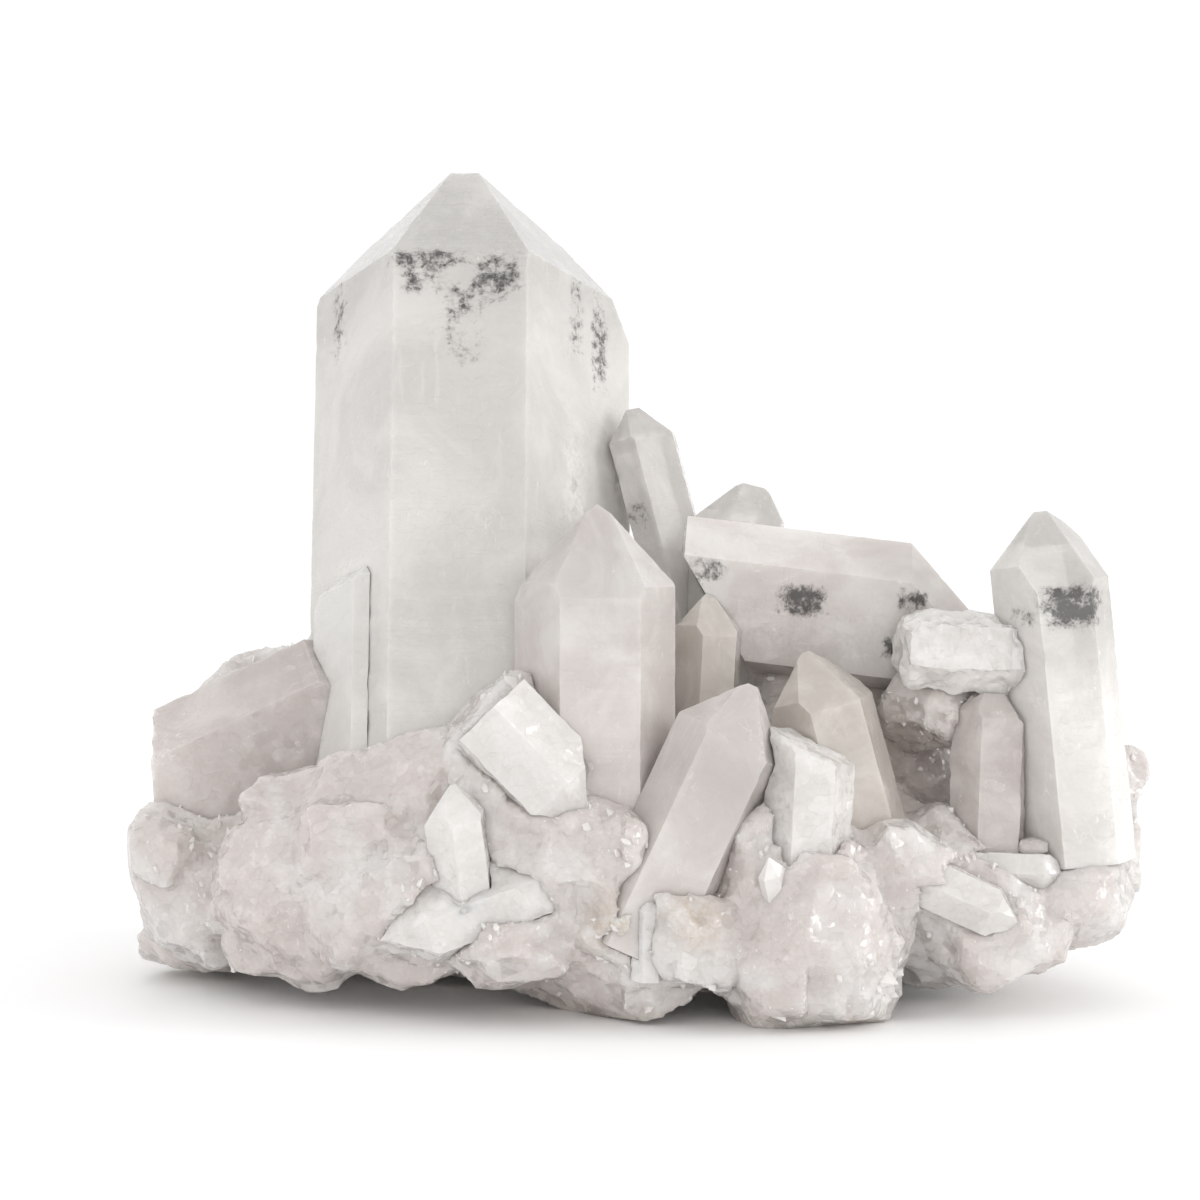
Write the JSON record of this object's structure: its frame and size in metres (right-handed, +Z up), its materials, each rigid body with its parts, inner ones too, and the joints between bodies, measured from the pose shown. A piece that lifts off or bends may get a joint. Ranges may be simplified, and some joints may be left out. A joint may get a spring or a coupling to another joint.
{
  "type": "quartz crystal cluster",
  "caption": "Natural quartz cluster: a large pointed clear crystal with smaller upright, leaning and lying crystals on a rough milky quartz base.",
  "frame": {"origin": "on the floor, under the middle of the cluster's outline seen from above", "axes": "+Z up, +X along the long side towards the right-hand crystal, +Y towards the back, which the main crystal leans towards"},
  "size_m": [0.1836, 0.1112, 0.1488],
  "materials": {
    "milky_base": "matte",
    "clear_quartz": "gloss",
    "milky_quartz": "satin",
    "frosted_quartz": "matte",
    "shadowed_quartz": "gloss"
  },
  "bodies": {
    "root": {"quartz_base": "milky_base", "main_crystal": "clear_quartz", "centre_crystal": "milky_quartz", "right_crystal": "clear_quartz", "leaning_crystal": "milky_quartz", "left_crystal": "shadowed_quartz", "rear_slender_crystal": "clear_quartz", "under_crystal": "shadowed_quartz", "front_right_crystal": "milky_quartz", "front_stub_crystal": "frosted_quartz", "front_block_crystal": "frosted_quartz", "cross_crystal": "frosted_quartz", "shadow_crystal": "shadowed_quartz", "cavity_crystal": "shadowed_quartz", "small_rear_crystal": "clear_quartz", "main_side_crystal": "clear_quartz", "small_front_crystal": "frosted_quartz", "low_front_crystal": "clear_quartz", "right_blade_crystal": "frosted_quartz", "lower_blade_crystal": "milky_quartz", "front_chip_crystal": "clear_quartz", "back_left_crystal": "milky_quartz", "back_centre_crystal": "clear_quartz", "back_right_crystal": "milky_quartz", "back_small_crystal": "clear_quartz"}
  },
  "joints": []
}
